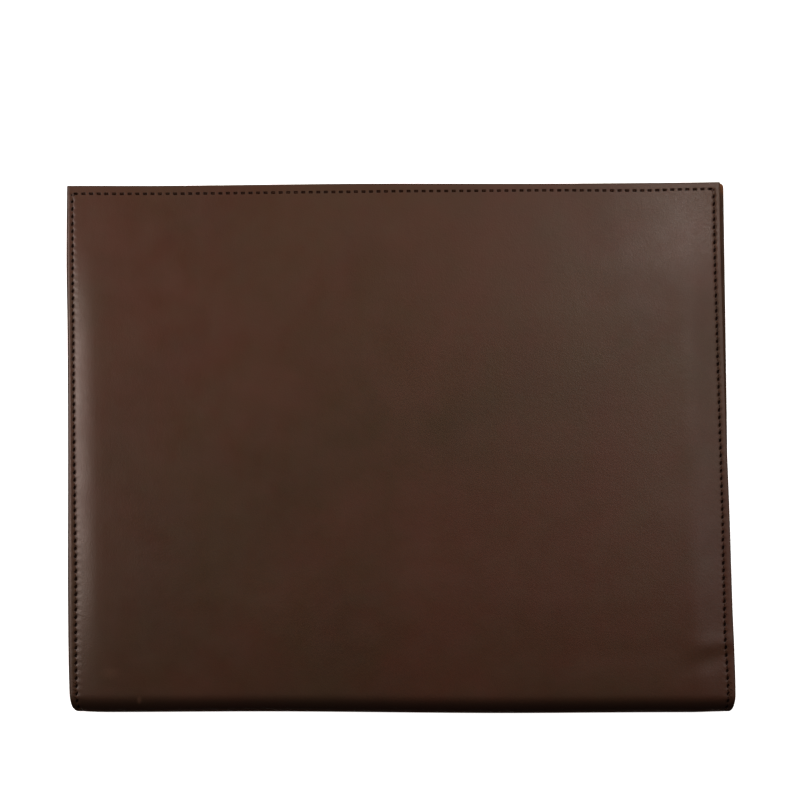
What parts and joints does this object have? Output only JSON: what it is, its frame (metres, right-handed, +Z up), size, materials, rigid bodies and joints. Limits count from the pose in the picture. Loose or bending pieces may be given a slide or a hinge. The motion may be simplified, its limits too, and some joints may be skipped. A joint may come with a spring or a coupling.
{
  "type": "leather resume holder",
  "caption": "Closed leather resume holder: a cover folded round a soft rolled spine, lined and sewn along its edges, keeping papers flat between its covers.",
  "frame": {"origin": "on the resting surface, under the middle of the closed holder", "axes": "+X along the spine to the right, +Y from the spine to the free edges, +Z up through the front cover"},
  "size_m": [0.3216, 0.256, 0.0197],
  "materials": {
    "cover_leather": "smooth satin",
    "lining_leather": "matte",
    "sewing_thread": "waxed"
  },
  "bodies": {
    "root": {"outer_cover": "cover_leather", "inner_lining": "lining_leather"}
  },
  "joints": []
}
